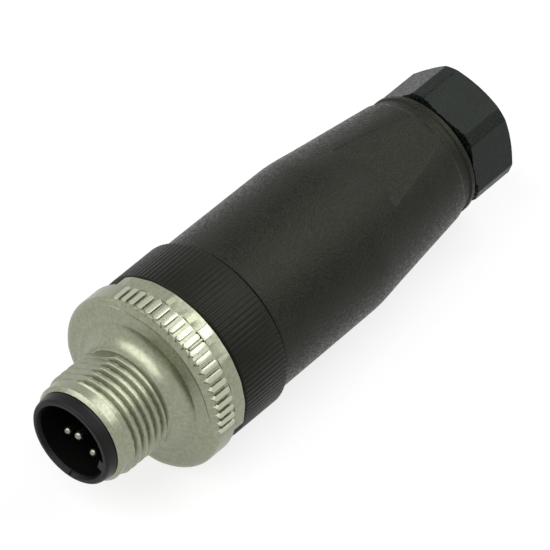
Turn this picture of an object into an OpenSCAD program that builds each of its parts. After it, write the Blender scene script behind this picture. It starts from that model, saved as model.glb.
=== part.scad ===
// Straight five-pole M12 cable plug for field wiring.
// The plug lies along X: the rim of the mating face is at x = 0 and the gland is at the far +X end.
// Angles round the axis start at +Z and turn towards -Y.

/* [Mating shroud] */
// Bore of the socket that takes the mating face
socket_d = 8.5; // [8.3:0.1:8.8]
// Thickness of the shroud round the socket
shroud_wall = 0.7; // [0.55:0.05:0.8]
// Height of the snap lip round the rim, which keeps the coupling screw on
lip_h = 0.25; // [0.15:0.05:0.35]
// How far the lip stands out in front of the metal nose
lip_proud = 1.35; // [0.8:0.05:1.8]
// Depth of the socket from rim to floor
socket_depth = 8.6; // [7.5:0.1:9]
// Width of the coding key
key_w = 1.2; // [0.8:0.1:1.5]
// Height of the coding key above the socket wall
key_h = 0.65; // [0.4:0.05:0.8]
// Direction of the coding key round the axis
key_angle = 104.5; // [95:0.5:115]
// Width of the notch in the rim
notch_w = 1; // [0.6:0.1:1.4]
// Direction of the notch round the axis
notch_angle = 175; // [165:1:200]

/* [Contacts] */
// Diameter of a contact pin
pin_d = 1; // [0.9:0.05:1.1]
// Diameter of the circle that the four outer pins stand on
pin_circle_d = 5; // [4.8:0.1:5.2]
// Distance of the centre pin's tip behind the rim
centre_tip_x = 1; // [0.6:0.1:2.5]
// Distance of the outer pins' tips behind the rim
outer_tip_x = 1.75; // [0.8:0.05:2.5]
// Diameter of a terminal barrel
barrel_d = 2.6; // [2.4:0.1:2.8]
// Distance of an outer barrel from the axis
barrel_reach = 3.7; // [3.5:0.1:3.9]
// Thickness of the terminal block outside the barrels
block_wall = 1.4; // [1.2:0.1:1.6]
// Length of a terminal barrel
barrel_len = 9; // [8:0.5:11]
// Diameter of the wire hole in a barrel
wire_d = 1.5; // [1.2:0.1:1.6]
// Depth of the wire hole
wire_depth = 7; // [5:0.5:7.5]
// Diameter of a terminal screw
screw_d = 1.7; // [1.5:0.1:1.8]
// Distance of a terminal screw from the rear end of its barrel
screw_back = 3; // [2:0.1:4]

/* [Coupling screw] */
// Wall of the coupling screw from its bore to the crests of its thread
thread_wall = 0.94; // [0.85:0.01:1.1]
// Height of the plain nose under the thread's crests
nose_drop = 0.3; // [0.2:0.05:0.5]
// Length of the plain nose
nose_len = 1.6; // [1.2:0.1:2.4]
// Length of the coupling thread with its run-out
thread_len = 5.3; // [4.6:0.1:6]
// Pitch of the coupling thread
thread_pitch = 1; // [0.75:0.25:1.25]
// Length of the chamfer at the front of the nose
nose_chamfer = 0.4; // [0.2:0.05:0.6]
// Radius of the fillet between thread and flange
fillet_r = 2.2; // [1.6:0.1:2.4]
// Width of the bevel round the flange face
bevel_w = 0.85; // [0.5:0.05:1.1]
// Dish of the flange face from fillet to bevel
face_dish = 0.35; // [0.1:0.05:0.6]
// Axial length of the bevel round the flange face
bevel_len = 0.5; // [0.3:0.05:0.8]
// Diameter of the collar between its ribs
collar_d = 19.9; // [19.6:0.1:20.3]
// Number of grip ribs round the collar
rib_count = 60; // [48:2:64]
// Length of a grip rib
rib_len = 2.35; // [1.8:0.05:3]
// Width of a grip rib
rib_w = 0.62; // [0.45:0.01:0.7]
// Height of a grip rib
rib_h = 0.3; // [0.15:0.05:0.4]
// Length of the smooth band behind the ribs
band_len = 1.65; // [1.2:0.05:2.4]
// Number of flats round the smooth band
band_flats = 22; // [16:1:28]
// Width of the raised position mark
mark_w = 1.25; // [0.8:0.05:1.6]
// Direction of the position mark round the axis
mark_angle = 34; // [0:1:90]
// Angle from the position mark to the nearest rib
rib_phase = 4.7; // [0:0.1:6]
// Angle from the position mark to the nearest corner of the band
band_phase = 3.3; // [0:0.1:16]

/* [Knurled ring] */
// How far the ring stands proud of the band in front of it
ring_proud = 0.03; // [0:0.01:0.2]
// Length of the ring
ring_len = 6.8; // [6:0.1:8]
// Number of knurls round the ring
knurl_count = 104; // [80:2:120]
// Depth of the grooves between knurls
knurl_depth = 0.22; // [0.1:0.02:0.3]
// Length of the bevel at each end of the ring
ring_bevel = 0.55; // [0.3:0.05:0.9]

/* [Sleeve] */
// Step from the ring down to the front end of the sleeve
sleeve_step = 0.75; // [0.5:0.05:1]
// Loss of radius along the straight barrel
barrel_draft = 0.1; // [0:0.05:0.2]
// Length of the straight barrel
straight_len = 16.4; // [15:0.1:18]
// Length of the cone behind the barrel
cone_len = 14.4; // [13.6:0.1:16]
// Diameter at the small end of the cone
cone_end_d = 14.9; // [14.6:0.1:15.4]
// How far the wrench flats lie outside the small end of the cone
flats_proud = 0.05; // [0:0.05:0.3]
// Slope of the wrench flats towards the axis, in degrees
flats_slope = 1.6; // [0:0.1:1.8]
// Distance from the start of the cone to the wrench flats
flats_back = 4; // [3.4:0.1:5]
// Direction of the wrench flats and the nut's flats round the axis
flats_angle = 19; // [0:1:45]
// Step from the cone down to the two beads at the end of the sleeve
bead_step = 0.25; // [0.1:0.05:0.4]
// Length of the beaded end
bead_len = 2.05; // [1.8:0.05:2.6]
// Thickness of the sleeve's wall around the terminals
sleeve_wall = 1.4; // [1.1:0.05:1.6]
// Thickness of the sleeve's wall over the thread that carries it
thread_cover = 1.29; // [1.1:0.01:1.5]
// Length of the thread that carries the sleeve
carrier_thread_len = 5.8; // [5.5:0.1:6.5]

/* [Gland] */
// Distance across the wide flats of the gland nut
nut_af = 13.14; // [12.8:0.02:13.4]
// What the narrow flats take off the distance across the nut's corners
corner_cut = 0.85; // [0.5:0.05:1.2]
// Length of the nut's head
head_len = 6.25; // [5.5:0.05:8]
// Bore of the nut for the cable
cable_bore_d = 8; // [7.6:0.1:8.2]
// Diameter of the nut's threaded shank
shank_d = 11.4; // [11.2:0.1:11.5]
// Length of the nut's threaded shank
shank_len = 5.3; // [5.1:0.1:5.5]
// Room for the cable seal in front of the clamp cage
seal_room = 4.75; // [4:0.05:5.2]
// Hole through the cable seal
seal_bore_d = 6.2; // [4:0.1:6.6]
// Number of fingers on the clamp cage
finger_count = 8; // [6:1:10]
// Width of the slots between fingers
finger_gap = 0.8; // [0.5:0.05:1]

/* [Clearances] */
// Radial clearance of a turning or threaded fit
run_gap = 0.06; // [0.03:0.01:0.08]
// Radial clearance of a pressed-in piece
seat_gap = 0.03; // [0.02:0.01:0.05]
// Clearance between faces that slide past each other
face_gap = 0.15; // [0.1:0.01:0.2]
// Gap that shows between the sleeve and the nut's head
nut_gap = 0.35; // [0.25:0.05:0.6]

/* [Hidden] */

$fn = 96;
eps = 0.01;
cut = 1;                                    // how far a cutter runs past what it cuts

// Stations along the axis, from the rim to the end of the gland nut
nose_x = lip_proud;
thread_x = nose_x + nose_len;
neck_x = thread_x + thread_len;
face_x = neck_x + fillet_r;
bevel_x = face_x + face_dish;
rib_x = bevel_x + bevel_len;
band_x = rib_x + rib_len;
coupling_end_x = band_x + band_len;
ring_x = coupling_end_x + face_gap;
ring_end_x = ring_x + ring_len;
sleeve_x = ring_end_x + face_gap / 2;
cone_x = sleeve_x + straight_len;
cone_end_x = cone_x + cone_len;
sleeve_end_x = cone_end_x + bead_len;
head_x = sleeve_end_x + nut_gap;
nut_end_x = head_x + head_len;

// Contact layout
pin_r = pin_d / 2;
pin_circle_r = pin_circle_d / 2;
pin_angles = [for (i = [0:3]) key_angle - 45 + 90 * i];
centre_screw_angle = key_angle;             // the centre contact's screw goes in under the key
socket_r = socket_d / 2;
rim_r = socket_r + 0.2;                     // mouth of the socket at the rim
shroud_r = socket_r + shroud_wall;
lip_r = shroud_r + lip_h;

// Coupling screw and its retention on the carrier
bore_r = shroud_r + run_gap;
thread_r = bore_r + thread_wall;
nose_r = thread_r - nose_drop;
collar_r = collar_d / 2;
face_r = collar_r - bevel_w;                // rim of the flange face, inside its bevel
band_r = collar_r + 0.12;                   // corner radius of the smooth band
rib_lead = 0.1;                             // how far the ribs start in front of the collar
mark_stem_w = 0.2;                          // fine line from the mark forward between two ribs
neck_r = thread_r - 0.35;
runout = 0.2;                               // from the last crest to the neck
thread_end_x = neck_x - runout;
thread_depth = 0.54 * thread_pitch;
groove_half = 0.1 * thread_pitch + thread_depth * tan(30);
groove_count = floor((thread_end_x - thread_x) / thread_pitch);
lip_gap = 0.05;                             // between the lip and the metal nose
block_r = barrel_reach + barrel_d / 2 + block_wall;
flange_r = block_r + 1.1;                   // thrust flange of the carrier
cavity_r = flange_r + 0.3;
cavity_x = bevel_x + 0.6;                   // floor of the cavity behind the flange face
flange_x = cavity_x + face_gap;
clip_t = 0.7;
clip_back = 0.9;                            // from the rear of the spring clip to the end of the screw
clip_x = coupling_end_x - clip_back - clip_t;
flange_end_x = clip_x - face_gap;
clip_groove_r = cavity_r + 0.5;
clip_r = clip_groove_r - 0.08;
clip_inner_r = flange_r - 0.6;
clip_opening = 40;                          // angle left open in the spring clip

// Insert block, its rear end and the terminals
seat_r = block_r + 0.25;                    // shoulder that the knurled ring seats on
seat_depth = 1;
seat_x = ring_x + seat_depth;
ring_r = band_r + ring_proud;
ring_bore_r = block_r + seat_gap;
barrel_r = barrel_d / 2;
carrier_thread_end_x = ring_end_x + carrier_thread_len;
barrel_lap = 1;                             // how far a barrel reaches into the carrier thread
barrel_x = carrier_thread_end_x - barrel_lap;
barrel_end_x = barrel_x + barrel_len;
block_end_x = barrel_end_x + 0.4;
screw_x = barrel_end_x - screw_back;
screw_r = screw_d / 2;
wire_r = wire_d / 2;
screw_top = block_r - 0.3;                  // outer end of a terminal screw, from the axis
spline_w = 1.2;
spline_h = 0.5;

// Sleeve, front to back
sleeve_r = ring_r - sleeve_step;
barrel_end_r = sleeve_r - barrel_draft;
cone_end_r = cone_end_d / 2;
sleeve_bore_r = sleeve_r - thread_cover;
carrier_thread_r = sleeve_bore_r - run_gap;
seal_groove_x = sleeve_x + 0.5;
seal_section = 0.6;
seal_groove_r = carrier_thread_r + seal_section;
relief_x = carrier_thread_end_x + 0.5;
chamber_r = barrel_end_r - sleeve_wall;
flats_x = cone_x + flats_back;
flats_r = cone_end_r + flats_proud;
shank_r = shank_d / 2;
shank_bore_r = shank_r + run_gap;
packing_r = shank_r - 0.25;                 // chamber for the seal and the clamp cage
shank_x = head_x - shank_len;
cage_flange_t = 1;
packing_x = shank_x - face_gap - cage_flange_t - seal_room;
shoulder_r = 4.2;
shoulder_len = 1;
taper_end_x = packing_x - shoulder_len - 0.6;
bead_r = cone_end_r - bead_step;
bead_groove = 0.17;

// Gland
nut_bore_r = cable_bore_d / 2;
mouth_r = packing_r - 0.45;                 // wide end of the cone inside the shank
mouth_len = 3.6;
cage_x = shank_x - face_gap - cage_flange_t;
cage_wall = 0.85;
finger_clear = 0.25;
finger_r = mouth_r - finger_clear;
finger_tip_r = nut_bore_r - finger_clear + 0.15;
finger_len = mouth_len - 0.7;
cage_r = packing_r - run_gap;
cage_bore_r = finger_tip_r - cage_wall;
seal_end_x = cage_x - face_gap;

black = "#2b2b2a";
nickel = "#a9a99b";
silver = "#cfcfc8";
steel = "#8d9196";
rubber = "#1b1b1b";

// Points of an arc about [r, x], in the half plane that turned() sweeps
function arc(centre, radius, from, to, steps = 6) =
    [for (i = [0:steps]) let (a = from + (to - from) * i / steps)
        centre + radius * [cos(a), sin(a)]];

// Corners of a regular ring of n narrow ridges with wide flutes between: crest, crest, root, root
function teeth(n, crest, root) =
    [for (i = [0:n - 1], k = [0:3])
        let (a = 360 / n * (i + [-0.1, 0.1, 0.28, 0.72][k]), r = k < 2 ? crest : root)
            [r * cos(a), r * sin(a)]];

// A solid of revolution about X from an outline of [radius, x] points
module turned(outline) {
    rotate([0, 90, 0]) rotate_extrude() polygon(outline);
}

// A round bar along X
module rod(x0, x1, r) {
    translate([x0, 0, 0]) rotate([0, 90, 0]) cylinder(h = x1 - x0, r = r);
}

// Turns what points up (+Z) round the axis
module at_angle(a) {
    rotate([a, 0, 0]) children();
}

// A box that starts at x0, stands on radius r0 and is centred sideways
module radial_box(x0, x1, r0, r1, w) {
    translate([x0, -w / 2, r0]) cube([x1 - x0, w, r1 - r0]);
}

// A prism along X over an outline drawn across the axis
module prism(x0, x1) {
    translate([x0, 0, 0]) rotate([0, 90, 0]) linear_extrude(x1 - x0) children();
}

module contact_carrier() {
    color(black) {
        difference() {
            turned([[0, socket_depth], [socket_r, socket_depth], [socket_r, 0.45], [rim_r, 0],
                    [lip_r - 0.35, 0], [lip_r - 0.15, 0.2], [lip_r, nose_x - 0.3],
                    [lip_r, nose_x - lip_gap], [shroud_r, nose_x - lip_gap],
                    [shroud_r, flange_x], [flange_r, flange_x], [flange_r, flange_end_x],
                    [seat_r, flange_end_x], [seat_r, seat_x], [block_r, seat_x],
                    [block_r, block_end_x - 0.4],
                    [block_r - 0.4, block_end_x], [0, block_end_x]]);
            for (a = pin_angles) at_angle(a) contact_pocket(pin_circle_r, barrel_reach);
            contact_pocket(0, 0);
            for (a = pin_angles) at_angle(a) screw_hole(barrel_reach);
            at_angle(centre_screw_angle) screw_hole(0);
            at_angle(notch_angle) radial_box(-cut, 0.35, socket_r - 0.1, rim_r + 0.2, notch_w);
        }
        at_angle(key_angle)
            radial_box(0.35, socket_depth + eps, socket_r - key_h, socket_r + 0.2, key_w);
        for (a = [0, 180]) at_angle(flats_angle + a)
            radial_box(seat_x + seat_gap, ring_end_x - 1, block_r - 0.3, block_r + spline_h, spline_w);
    }
}

// Room in the insert for one contact, with its pin at reach_pin and its barrel at reach_barrel
module contact_pocket(reach_pin, reach_barrel) {
    translate([0, 0, reach_pin]) rod(socket_depth - cut, barrel_x + 1, pin_r + seat_gap);
    translate([0, 0, reach_barrel])
        rod(barrel_x - seat_gap, block_end_x + cut, barrel_r + seat_gap);
}

module screw_hole(reach_barrel) {
    translate([screw_x, 0, reach_barrel]) cylinder(h = block_r, r = screw_r + seat_gap);
}

// One contact: round-tipped pin, and a barrel with a wire hole and a screw hole
module contact(reach_pin, reach_barrel, tip_x) {
    color(silver) difference() {
        union() {
            translate([tip_x + pin_r, 0, reach_pin]) sphere(r = pin_r);
            translate([0, 0, reach_pin]) rod(tip_x + pin_r, barrel_x + 1, pin_r);
            translate([0, 0, reach_barrel]) rod(barrel_x, barrel_end_x, barrel_r);
        }
        translate([0, 0, reach_barrel]) rod(barrel_end_x - wire_depth, barrel_end_x + cut, wire_r);
        screw_hole(reach_barrel);
    }
}

module outer_contact(i) {
    at_angle(pin_angles[i - 1]) contact(pin_circle_r, barrel_reach, outer_tip_x);
}

module centre_contact() {
    at_angle(centre_screw_angle) contact(0, 0, centre_tip_x);
}

module terminal_screws() {
    color(steel) {
        for (a = pin_angles) at_angle(a) terminal_screw(barrel_reach + 0.5);
        at_angle(centre_screw_angle) terminal_screw(0.5);
    }
}

// A headless slotted screw that stands from radius foot to just under the block's surface
module terminal_screw(foot) {
    difference() {
        translate([screw_x, 0, foot]) cylinder(h = screw_top - foot, r = screw_r);
        radial_box(screw_x - barrel_r, screw_x + barrel_r, screw_top - 0.5, screw_top + cut, 0.35);
    }
}

module coupling_screw() {
    color(nickel) {
        turned(concat(
            [[bore_r, nose_x + 0.1], [bore_r + 0.1, nose_x],
             [nose_r + 0.03 - nose_chamfer, nose_x], [nose_r, nose_x + nose_chamfer],
             [nose_r, thread_x - nose_drop], [thread_r, thread_x]],
            [for (i = [0:groove_count - 1]) each thread_groove(thread_x + (i + 0.5) * thread_pitch)],
            [[thread_r, thread_end_x], [neck_r, neck_x]],
            arc([neck_r + fillet_r, neck_x], fillet_r, 180, 90),
            [[face_r, bevel_x], [collar_r, rib_x], [collar_r, coupling_end_x],
             [clip_groove_r + 0.3, coupling_end_x], [cavity_r, coupling_end_x - 0.3],
             [cavity_r, clip_x + clip_t + 0.05], [clip_groove_r, clip_x + clip_t + 0.05],
             [clip_groove_r, clip_x - 0.05], [cavity_r, clip_x - 0.05],
             [cavity_r, cavity_x], [bore_r, cavity_x]]));
        difference() {
            at_angle(mark_angle + band_phase) prism(band_x, coupling_end_x) polygon(
                [for (i = [0:band_flats - 1]) -band_r * [cos(360 / band_flats * i),
                                                         sin(360 / band_flats * i)]]);
            rod(band_x - cut, coupling_end_x + cut, collar_r - 0.3);
        }
        for (i = [0:rib_count - 1]) at_angle(mark_angle + rib_phase + 360 / rib_count * i)
            grip_rib();
        at_angle(mark_angle)
            radial_box(band_x - 0.1, coupling_end_x - 0.15, collar_r - 0.3, collar_r + rib_h, mark_w);
        at_angle(mark_angle + rib_phase - 180 / rib_count)
            radial_box(rib_x + 0.3, band_x, collar_r - 0.3, collar_r + rib_h / 2, mark_stem_w);
    }
}

// Outline of one groove of the coupling thread, which is drawn as rings a pitch apart
function thread_groove(x) = let (root_r = thread_r - thread_depth, flat = 0.1 * thread_pitch)
    [[thread_r, x - groove_half], [root_r, x - flat], [root_r, x + flat], [thread_r, x + groove_half]];

// One grip rib: a flat-topped bar with pointed ends
module grip_rib() {
    tip = rib_w * 0.2;                      // half the width of a rib at its ends
    point = 0.2;                            // length over which an end narrows
    side = rib_w / 2;
    translate([rib_x - rib_lead, 0, collar_r - 0.3]) linear_extrude(rib_h + 0.3) polygon(
        [[0, -tip], [point, -side], [rib_len - point, -side], [rib_len, -tip],
         [rib_len, tip], [rib_len - point, side], [point, side], [0, tip]]);
}

module retaining_clip() {
    color(steel) difference() {
        rod(clip_x, clip_x + clip_t, clip_r);
        rod(clip_x - cut, clip_x + clip_t + cut, clip_inner_r);
        prism(clip_x - cut, clip_x + clip_t + cut) polygon(
            [[0, 0], for (a = [-0.5, 0.5]) 2 * clip_r * [cos(clip_opening * a),
                                                         sin(clip_opening * a)]]);
    }
}

module knurled_ring() {
    root_r = ring_r - knurl_depth;
    color(black) difference() {
        union() {
            intersection() {
                prism(ring_x, ring_end_x) polygon(teeth(knurl_count, ring_r, root_r));
                turned([[0, ring_x], [ring_r - ring_bevel, ring_x],
                        [ring_r + 0.1, ring_x + ring_bevel + 0.1],
                        [ring_r + 0.1, ring_end_x - ring_bevel - 0.1],
                        [ring_r - ring_bevel, ring_end_x], [0, ring_end_x]]);
            }
            turned([[0, ring_end_x - 1], [carrier_thread_r, ring_end_x - 1],
                    [carrier_thread_r, carrier_thread_end_x - 0.4],
                    [carrier_thread_r - 0.4, carrier_thread_end_x], [0, carrier_thread_end_x]]);
        }
        rod(ring_x - cut, carrier_thread_end_x + cut, ring_bore_r);
        rod(ring_x - cut, seat_x, seat_r + seat_gap);
        for (a = [0, 180]) at_angle(flats_angle + a)
            radial_box(seat_x - eps, ring_end_x - 1 + seat_gap, 0,
                       block_r + spline_h + seat_gap, spline_w + 2 * seat_gap);
    }
}

module sleeve_seal() {
    seal_r = seal_section / 2 - run_gap;
    middle_r = carrier_thread_r + seal_section / 2;
    color(rubber) rotate([0, 90, 0]) translate([0, 0, seal_groove_x + seal_section / 2])
        rotate_extrude() translate([middle_r, 0]) circle(r = seal_r, $fn = 32);
}

module sleeve() {
    color(black) difference() {
        turned([[0, sleeve_x], [sleeve_r - 0.2, sleeve_x], [sleeve_r, sleeve_x + 0.25],
                [barrel_end_r, cone_x - 0.5], [barrel_end_r - 0.07, cone_x + 0.5],
                [cone_end_r, cone_end_x - 0.15], [cone_end_r - 0.15, cone_end_x + 0.1],
                [bead_r, cone_end_x + 0.2], [bead_r, cone_end_x + 0.55],
                [bead_r - bead_groove, cone_end_x + 0.7],
                [bead_r - bead_groove, sleeve_end_x - 0.75],
                [bead_r, sleeve_end_x - 0.6], [bead_r, sleeve_end_x - 0.15],
                [bead_r - 0.15, sleeve_end_x], [0, sleeve_end_x]]);
        turned([[0, sleeve_x - cut], [sleeve_bore_r, sleeve_x - cut],
                [sleeve_bore_r, seal_groove_x], [seal_groove_r, seal_groove_x],
                [seal_groove_r, seal_groove_x + seal_section],
                [sleeve_bore_r, seal_groove_x + seal_section], [sleeve_bore_r, relief_x],
                [chamber_r, relief_x + 0.3], [chamber_r, cone_x - 2],
                [packing_r, taper_end_x], [shoulder_r, taper_end_x + 0.6],
                [shoulder_r, packing_x], [packing_r, packing_x], [packing_r, shank_x - 0.6],
                [shank_bore_r, shank_x - 0.3], [shank_bore_r, sleeve_end_x + cut],
                [0, sleeve_end_x + cut]]);
        for (a = [0, 180]) at_angle(flats_angle + a) translate([flats_x, -sleeve_r, flats_r])
            rotate([0, flats_slope, 0]) cube([cone_end_x - 0.15 - flats_x, 2 * sleeve_r, sleeve_r]);
    }
}

module cable_seal() {
    seal_r = packing_r - run_gap;
    seal_bore_r = seal_bore_d / 2;
    lip = 0.35;
    color(rubber) turned([[seal_bore_r, packing_x + 0.05], [seal_r - 0.5, packing_x + 0.05],
                          [seal_r, packing_x + 0.6], [seal_r, seal_end_x],
                          [seal_bore_r + lip, seal_end_x], [seal_bore_r, seal_end_x - lip]]);
}

module clamp_cage() {
    flange_end = cage_x + cage_flange_t;
    tip_x = flange_end + face_gap + finger_len;
    color("#3a3a38") difference() {
        turned([[cage_bore_r, cage_x], [cage_r, cage_x], [cage_r, flange_end],
                [finger_r, flange_end], [finger_r, flange_end + face_gap],
                [finger_tip_r, tip_x], [cage_bore_r, tip_x]]);
        for (i = [0:finger_count - 1]) at_angle(360 / finger_count * i)
            radial_box(flange_end + 0.2, tip_x + cut, 0, cage_r, finger_gap);
    }
}

module gland_nut() {
    flat_side = nut_af / 2 / cos(30);       // corner radius of a plain hexagon of this size
    nut_corner = 2 * flat_side - corner_cut;
    side = nut_corner / 2 / cos(30);
    bevel_r = nut_af / 2 - 0.02;            // where the rear bevel starts
    front_r = nut_af / 2 - 0.3;             // where the front bevel starts
    bevel = nut_corner / 2 - front_r + 0.2;
    color(black) difference() {
        union() {
            intersection() {
                hexagon_bar(flats_angle, flat_side);
                hexagon_bar(flats_angle + 30, side);
                turned([[0, head_x], [front_r, head_x], [front_r + bevel, head_x + bevel],
                        [bevel_r + bevel, nut_end_x - bevel / 2],
                        [bevel_r, nut_end_x], [0, nut_end_x]]);
            }
            turned([[0, shank_x], [shank_r - 0.3, shank_x], [shank_r, shank_x + 0.3],
                    [shank_r, head_x + eps], [0, head_x + eps]]);
        }
        turned([[0, shank_x - cut], [mouth_r + 0.28 * cut, shank_x - cut], [mouth_r, shank_x],
                [nut_bore_r, shank_x + mouth_len], [nut_bore_r, nut_end_x - 0.4],
                [nut_bore_r + 0.4 + cut, nut_end_x + cut], [0, nut_end_x + cut]]);
    }
}

// Six-sided bar the length of the nut's head, with a flat facing angle a
module hexagon_bar(a, circumradius) {
    at_angle(a) rotate([30, 0, 0]) translate([head_x, 0, 0]) rotate([0, 90, 0])
        cylinder(h = head_len, r = circumradius, $fn = 6);
}

contact_carrier();
outer_contact(1);  // contact_pin_1
outer_contact(2);  // contact_pin_2
outer_contact(3);  // contact_pin_3
outer_contact(4);  // contact_pin_4
centre_contact();  // contact_pin_5
terminal_screws();
coupling_screw();
retaining_clip();
knurled_ring();
sleeve_seal();
sleeve();
cable_seal();
clamp_cage();
gland_nut();
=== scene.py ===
"""Looks of a straight five-pole M12 cable plug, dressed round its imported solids.

The plug lies along X with its mating face at the low end. Angles round the axis start at +Z and turn
towards -Y. Shapes are worked out in millimetres and made in metres."""
import math

import bpy
import numpy as np
from mathutils import Matrix, Vector


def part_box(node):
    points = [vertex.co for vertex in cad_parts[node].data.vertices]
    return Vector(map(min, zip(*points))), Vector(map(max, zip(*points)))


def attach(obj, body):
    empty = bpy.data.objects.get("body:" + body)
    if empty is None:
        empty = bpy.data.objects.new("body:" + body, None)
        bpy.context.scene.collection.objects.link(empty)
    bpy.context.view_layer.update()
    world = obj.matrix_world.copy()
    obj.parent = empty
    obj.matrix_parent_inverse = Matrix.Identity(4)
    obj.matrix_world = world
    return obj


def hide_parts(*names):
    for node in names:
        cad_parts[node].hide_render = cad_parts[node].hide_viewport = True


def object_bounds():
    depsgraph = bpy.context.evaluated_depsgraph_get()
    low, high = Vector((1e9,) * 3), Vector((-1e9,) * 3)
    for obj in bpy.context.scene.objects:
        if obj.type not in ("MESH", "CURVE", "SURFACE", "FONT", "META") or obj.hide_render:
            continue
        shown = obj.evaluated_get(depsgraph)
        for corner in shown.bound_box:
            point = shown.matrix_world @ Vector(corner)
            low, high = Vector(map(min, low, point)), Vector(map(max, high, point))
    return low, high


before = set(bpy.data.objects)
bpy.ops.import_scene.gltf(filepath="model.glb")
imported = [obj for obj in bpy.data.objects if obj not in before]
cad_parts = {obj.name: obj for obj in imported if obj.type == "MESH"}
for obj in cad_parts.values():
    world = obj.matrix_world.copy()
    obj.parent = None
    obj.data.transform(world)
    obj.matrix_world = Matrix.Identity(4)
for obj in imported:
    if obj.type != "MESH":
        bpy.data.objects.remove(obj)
CAD_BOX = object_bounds()

MM = 0.001
TURN = 2 * math.pi


def ends(node):
    """Lowest and highest x of a CAD node, in millimetres."""
    low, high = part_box(node)
    return low.x / MM, high.x / MM


RIM_X, BLOCK_END_X = ends("contact_carrier")
NOSE_X, COUPLING_END_X = ends("coupling_screw")
CLIP_X, CLIP_END_X = ends("retaining_clip")
RING_X, CARRIER_END_X = ends("knurled_ring")
SLEEVE_X, SLEEVE_END_X = ends("sleeve")
SHANK_X, NUT_END_X = ends("gland_nut")
BARREL_END_X = ends("contact_pin_5")[1]

# ---------------------------------------------------------------------------------------- sizes, in mm
GAP = 0.05                      # between pieces that run on each other
# Coupling screw
THREAD_R = 5.95                 # crest of the coupling thread
THREAD_ROOT_R = 5.46
THREAD_PITCH = 1.0
NOSE_R = 5.65                   # plain nose in front of the thread
COUPLING_BORE_R = 5.01
PARTING_R = 5.52                # from the axis to the flats that the die's parting leaves on the thread
PARTING_ANGLES = (-28.5, 151.5)
NECK_X = NOSE_X + 6.9
NECK_R = 5.6
FILLET_R = 2.2
FACE_X = NECK_X + FILLET_R
BEVEL_X = FACE_X + 0.35
RIB_X = BEVEL_X + 0.5
BAND_X = RIB_X + 2.35
COLLAR_R = 9.95                 # between the ribs
RIB_TOP_R = 10.25
RIB_W = 0.64
RIB_STEP = 6                    # degrees from rib to rib
MARK_ANGLE = 34
RIBS_ANGLE = MARK_ANGLE + 1.7   # middle of the group of ribs on the marked side
RIB_GROUPS = ((RIBS_ANGLE, 20), (RIBS_ANGLE + 180, 12))
PLAIN_R = 10.2                  # collar between the groups
BAND_R = 10.07
BAND_FLATS = 22                 # small flats round the band
BAND_PHASE = MARK_ANGLE + 3.3
BAND_CUT_R = 9.4                # from the axis to the band's two large flats
BAND_CUT_ANGLE = RIBS_ANGLE + 89
CAVITY_R = 7.8                  # room for the insert's flange and the spring clip
CLIP_GROOVE_R = 8.3
# Knurled ring and the thread that carries the sleeve
RING_R = 10.1
RING_END_X = RING_X + 6.8
KNURLS = 104
KNURL_H = 0.24
RING_BEVEL = 0.55
CARRIER_THREAD_R = 8.0
BLOCK_BORE_R = 6.43
SEAT_R = 6.68
# Sleeve
SLEEVE_R = 9.35
CONE_X = SLEEVE_X + 16.4
CONE_END_X = CONE_X + 14.4
BEAD_R = 7.2
FLATS_X = CONE_X + 4
FLATS_R = 7.5
FLATS_SLOPE = math.tan(math.radians(1.6))
FLATS_ANGLE = 19
CHAMBER_R = 7.85                # room for the wires
PACKING_X = ends("cable_seal")[0] - GAP
PACKING_R = 5.45                # room for the seal and the clamp cage
SHOULDER_R = 4.2
GLAND_BORE_R = 5.76
# Gland nut
HEAD_X = NUT_END_X - 6.25
NUT_WIDE_R = 6.57               # from the axis to a wide flat
NUT_NARROW_R = 7.16             # from the axis to a narrow flat
NUT_BORE_R = 4.0
SHANK_R = 5.7
# Insert and contacts
SOCKET_R = 4.25
SOCKET_FLOOR_X = 8.6
SHROUD_R = 4.95
LIP_R = 5.2
FLANGE_R = 7.5
BLOCK_R = 6.4
KEY_ANGLE = 104.5
NOTCH_ANGLE = 175
PIN_ANGLES = [KEY_ANGLE - 45 + 90 * k for k in range(4)]
CENTRE_SCREW_ANGLE = KEY_ANGLE
PIN_R = 0.5
PIN_REACH = 2.5                 # from the axis to an outer pin
BARREL_R = 1.3
BARREL_REACH = 3.7              # from the axis to an outer barrel
BARREL_X = BARREL_END_X - 9
WIRE_R = 0.75
WIRE_DEPTH = 7
SCREW_X = BARREL_END_X - 3
SCREW_R = 0.85


# --------------------------------------------------------------------------------------- node helpers
def add(tree, kind, inputs=(), **settings):
    """Adds a node with its settings. An input takes a value, a node, or a node with an output's name."""
    made = tree.nodes.new(kind)
    for key, value in settings.items():
        setattr(made, key, value)
    for key, value in inputs.items() if isinstance(inputs, dict) else enumerate(inputs):
        if isinstance(value, bpy.types.Node):
            value = (value, 0)
        if isinstance(value, tuple) and isinstance(value[0], bpy.types.Node):
            tree.links.new(value[0].outputs[value[1]], made.inputs[key])
        else:
            made.inputs[key].default_value = value
    return made


def shape_tree(name, inputs):
    """A Geometry Nodes tree with named inputs. Gives the tree and its group input node."""
    tree = bpy.data.node_groups.new(name, "GeometryNodeTree")
    tree.interface.new_socket("Geometry", in_out="INPUT", socket_type="NodeSocketGeometry")
    for label, kind in inputs.items():
        tree.interface.new_socket(label, in_out="INPUT", socket_type="NodeSocket" + kind)
    tree.interface.new_socket("Geometry", in_out="OUTPUT", socket_type="NodeSocketGeometry")
    return tree, add(tree, "NodeGroupInput")


def end_tree(tree, given, geometry):
    """Realizes what the tree made, gives it its material and puts it out."""
    real = add(tree, "GeometryNodeRealizeInstances", [geometry])
    dressed = add(tree, "GeometryNodeSetMaterial", {"Geometry": real, "Material": (given, "Material")})
    add(tree, "NodeGroupOutput", [dressed])
    return tree


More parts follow.
